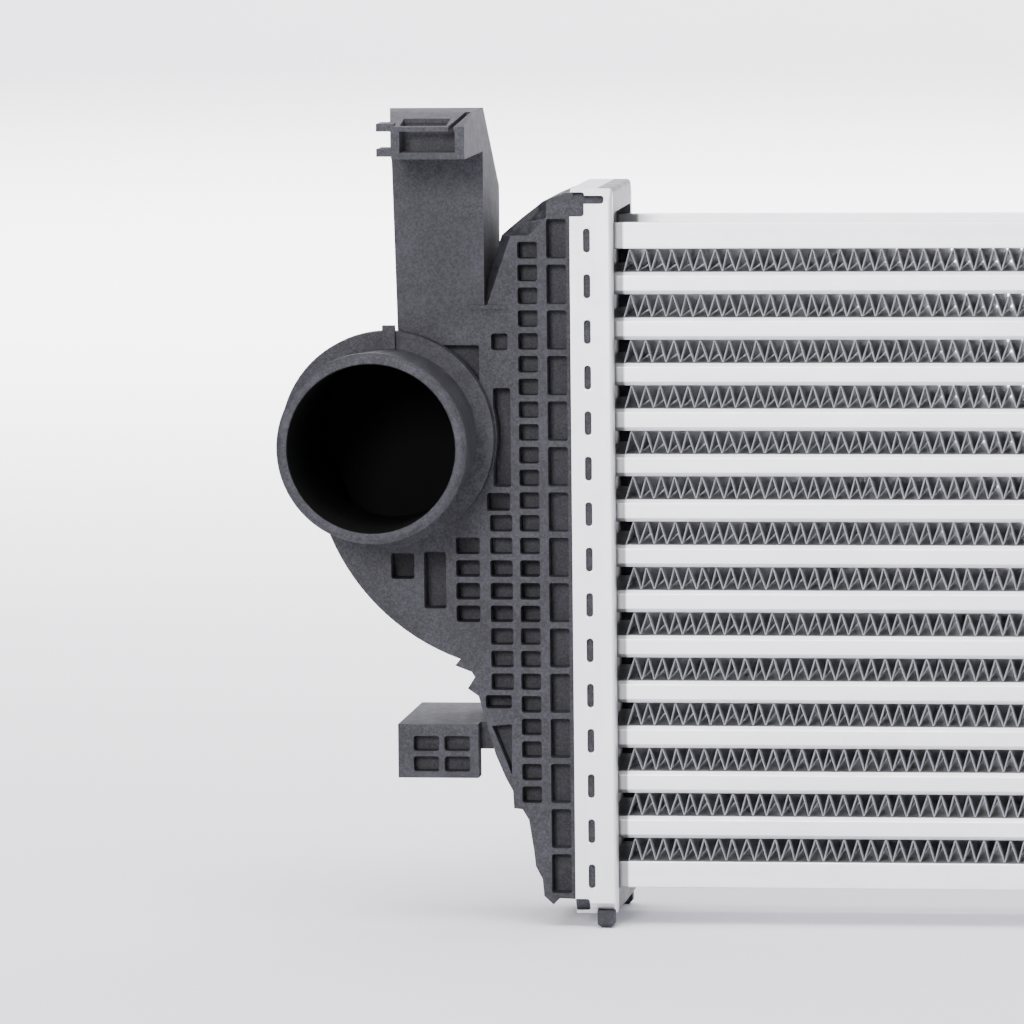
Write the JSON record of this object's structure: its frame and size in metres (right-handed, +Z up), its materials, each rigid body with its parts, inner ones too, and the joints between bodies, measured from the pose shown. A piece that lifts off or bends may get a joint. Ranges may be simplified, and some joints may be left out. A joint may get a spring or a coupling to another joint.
{
  "type": "intercooler",
  "caption": "Air-to-air charge cooler: stacked flat aluminium tubes and corrugated fins between two crimped plastic end tanks with round hose spigots and a tall clip bracket.",
  "frame": {"origin": "middle of the overall box in plan, on the plane of the four nubs that the cooler stands on", "axes": "+X along the core from the tank with the bracket to the plain tank, the hose spigots point to -Y, +Z up along the stack of tubes"},
  "size_m": [0.727, 0.11, 0.28],
  "materials": {
    "tube_metal": "satin, faintly scuffed",
    "fin_metal": "satin thin sheet",
    "header_metal": "satin pressed sheet",
    "seal_rubber": "matte",
    "tank_plastic": "moulded glass-filled nylon, fine grain"
  },
  "bodies": {
    "root": {"tube_01": "tube_metal", "tube_02": "tube_metal", "tube_03": "tube_metal", "tube_04": "tube_metal", "tube_05": "tube_metal", "tube_06": "tube_metal", "tube_07": "tube_metal", "tube_08": "tube_metal", "tube_09": "tube_metal", "tube_10": "tube_metal", "tube_11": "tube_metal", "tube_12": "tube_metal", "tube_13": "tube_metal", "turbulator_01": "fin_metal", "turbulator_02": "fin_metal", "turbulator_03": "fin_metal", "turbulator_04": "fin_metal", "turbulator_05": "fin_metal", "turbulator_06": "fin_metal", "turbulator_07": "fin_metal", "turbulator_08": "fin_metal", "turbulator_09": "fin_metal", "turbulator_10": "fin_metal", "turbulator_11": "fin_metal", "turbulator_12": "fin_metal", "turbulator_13": "fin_metal", "air_fin_01": "fin_metal", "air_fin_02": "fin_metal", "air_fin_03": "fin_metal", "air_fin_04": "fin_metal", "air_fin_05": "fin_metal", "air_fin_06": "fin_metal", "air_fin_07": "fin_metal", "air_fin_08": "fin_metal", "air_fin_09": "fin_metal", "air_fin_10": "fin_metal", "air_fin_11": "fin_metal", "air_fin_12": "fin_metal", "air_fin_13": "fin_metal", "air_fin_14": "fin_metal", "side_plate_top": "tube_metal", "side_plate_bottom": "tube_metal", "header_left": "header_metal", "header_right": "header_metal", "gasket_left": "seal_rubber", "gasket_right": "seal_rubber", "tank_left": "tank_plastic", "tank_right": "tank_plastic"}
  },
  "joints": []
}
